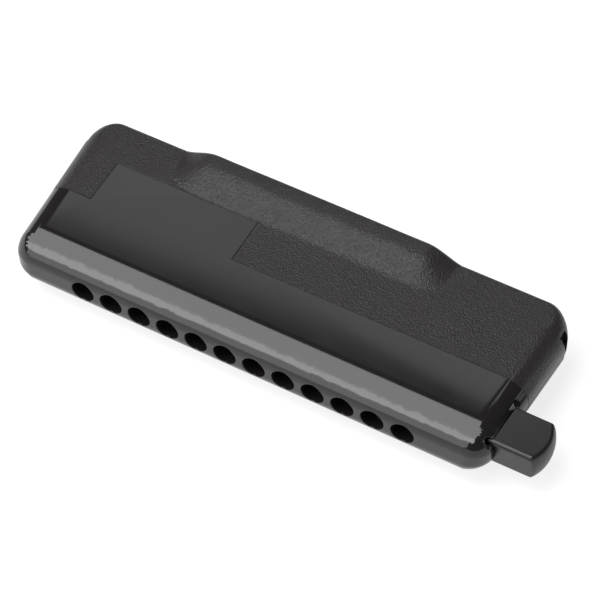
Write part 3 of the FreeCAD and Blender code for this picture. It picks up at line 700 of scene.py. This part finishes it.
@dataclass
class ReedUnit:
    """The comb and the reed plates on its two faces."""

    shop: Workshop

    def build(self) -> None:
        """Dresses the comb and both plates with all they hold."""
        self.shop.carry("comb", "comb_plastic")
        for side in Side:
            self.dress_side(side)

    def dress_side(self, side: Side) -> None:
        """Dresses one plate, its reeds, valves, rivets and screws."""
        for part, slot in (
            ("reed_plate", "plate_brass"),
            ("draw_reeds", "reed_brass"),
            ("blow_reeds", "reed_brass"),
            ("outer_valves", "valve_film"),
            ("inner_valves", "valve_film"),
        ):
            self.shop.carry(f"{side.value}_{part}", slot)
        self.shop.polish(f"{side.value}_reed_rivets", Body.HARMONICA, "rivet_brass", RIVET_ANGLE)
        self.shop.polish(f"{side.value}_plate_screws", Body.HARMONICA, "screw_steel", HEAD_ANGLE)


# ------------------------------------------------------------------- the studio


@dataclass
class Softbox:
    """One soft rectangular light. Its glow is how bright its face looks beside white paper."""

    name: str
    towards: Point
    distance: float
    width: float
    height: float
    glow: float
    aim: Point = (0.0, 0.0, 0.01)

    def hang(self) -> None:
        """Hangs the light so that it faces its aim, with its width along the harmonica."""
        lamp = bpy.data.lights.new(self.name, "AREA")
        lamp.shape = "RECTANGLE"
        lamp.size = self.width
        lamp.size_y = self.height
        lamp.energy = self.glow * math.pi * self.width * self.height
        box = bpy.data.objects.new(self.name, lamp)
        out = Vector(self.towards).normalized()
        box.location = Vector(self.aim) + out * self.distance
        along = Vector((1.0, 0.0, 0.0))
        level = (along - out * along.dot(out)).normalized()
        turn = Matrix((level, out.cross(level), out)).transposed()
        box.rotation_euler = turn.to_euler()
        bpy.context.scene.collection.objects.link(box)


@dataclass
class Studio:
    """The pale floor, the soft light and the camera."""

    eye: Point = (0.21115, -0.36113, 0.56819)
    right: Point = (0.87450, 0.48465, -0.01908)
    upward: Point = (-0.37732, 0.70449, 0.60111)
    lens: float = 152.57
    sensor: float = 36.0
    floor_half: float = 3.0
    floor_glow: float = 0.8
    floor_dark: Colour = (0.36, 0.36, 0.36)
    floor_light: Colour = (0.38, 0.38, 0.38)
    floor_rough: float = 0.9
    mottle_size: float = 60.0 * MM
    mottle_rough: float = 0.05
    nearest: float = 0.01
    sky: float = 0.12
    boxes: tuple[Softbox, ...] = (
        Softbox("softbox_front", (-0.3, -0.55, 0.72), 1.5, 1.0, 1.5, 2.5),
        Softbox("softbox_core", (-0.3, -0.11, 0.95), 1.4, 0.9, 0.72, 4.2),
        Softbox("softbox_back", (-0.25, 0.72, 0.75), 1.5, 0.85, 0.62, 1.3),
    )

    def build(self, lowest: float) -> None:
        """Sets up everything round the harmonica.

        Args:
            lowest: the height of the harmonica's lowest point.
        """
        self.lay_floor(lowest)
        self.light_room()
        for box in self.boxes:
            box.hang()
        self.set_camera()

    def lay_floor(self, lowest: float) -> None:
        """Lays the pale floor under the harmonica."""
        bpy.ops.object.select_all(action="DESELECT")
        bpy.ops.mesh.primitive_plane_add(size=2.0 * self.floor_half, location=(0.0, 0.0, lowest))
        floor = bpy.context.object
        floor.name = "studio_floor"
        graph = Graph("floor_paper")
        mottle = graph.noise(self.mottle_size, CRISP)
        graph.finish(
            {
                "Base Color": graph.blend(mottle, self.floor_dark, self.floor_light),
                "Roughness": self.floor_rough - mottle * self.mottle_rough,
            },
            {"Specular IOR Level": 0.1, "Emission Color": WHITE, "Emission Strength": self.floor_glow},
        )
        floor.data.materials.append(graph.material)
        floor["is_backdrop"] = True

    def light_room(self) -> None:
        """Fills the room with even white light."""
        world = bpy.data.worlds.new("studio_room")
        world.use_nodes = True
        back = world.node_tree.nodes["Background"]
        back.inputs["Color"].default_value = WHITE
        back.inputs["Strength"].default_value = self.sky
        bpy.context.scene.world = world
        bpy.context.scene.view_settings.view_transform = "Standard"
        bpy.context.scene.view_settings.look = "None"

    def set_camera(self) -> None:
        """Stands the camera in front, to the right of and above the harmonica."""
        lens = bpy.data.cameras.new("camera")
        lens.lens = self.lens
        lens.sensor_width = self.sensor
        lens.clip_start = self.nearest
        camera = bpy.data.objects.new("camera", lens)
        right, upward = Vector(self.right), Vector(self.upward)
        back = right.cross(upward)
        turn = Matrix((right, upward, back)).transposed().to_4x4()
        camera.matrix_world = Matrix.Translation(Vector(self.eye)) @ turn
        bpy.context.scene.collection.objects.link(camera)
        bpy.context.scene.camera = camera


def main() -> None:
    """Builds the harmonica's looks and the studio, in order."""
    logging.basicConfig(level=logging.INFO, format="%(name)s: %(message)s")
    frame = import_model()
    frame_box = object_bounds()
    shop = Workshop(frame["nodes"], Paintbox())
    for assembly in (Case(shop), SlideWorks(shop), ReedUnit(shop)):
        assembly.build()
        LOG.info("finished %s", type(assembly).__name__)
    Studio().build(frame_box[0].z)


if __name__ == "__main__":
    main()
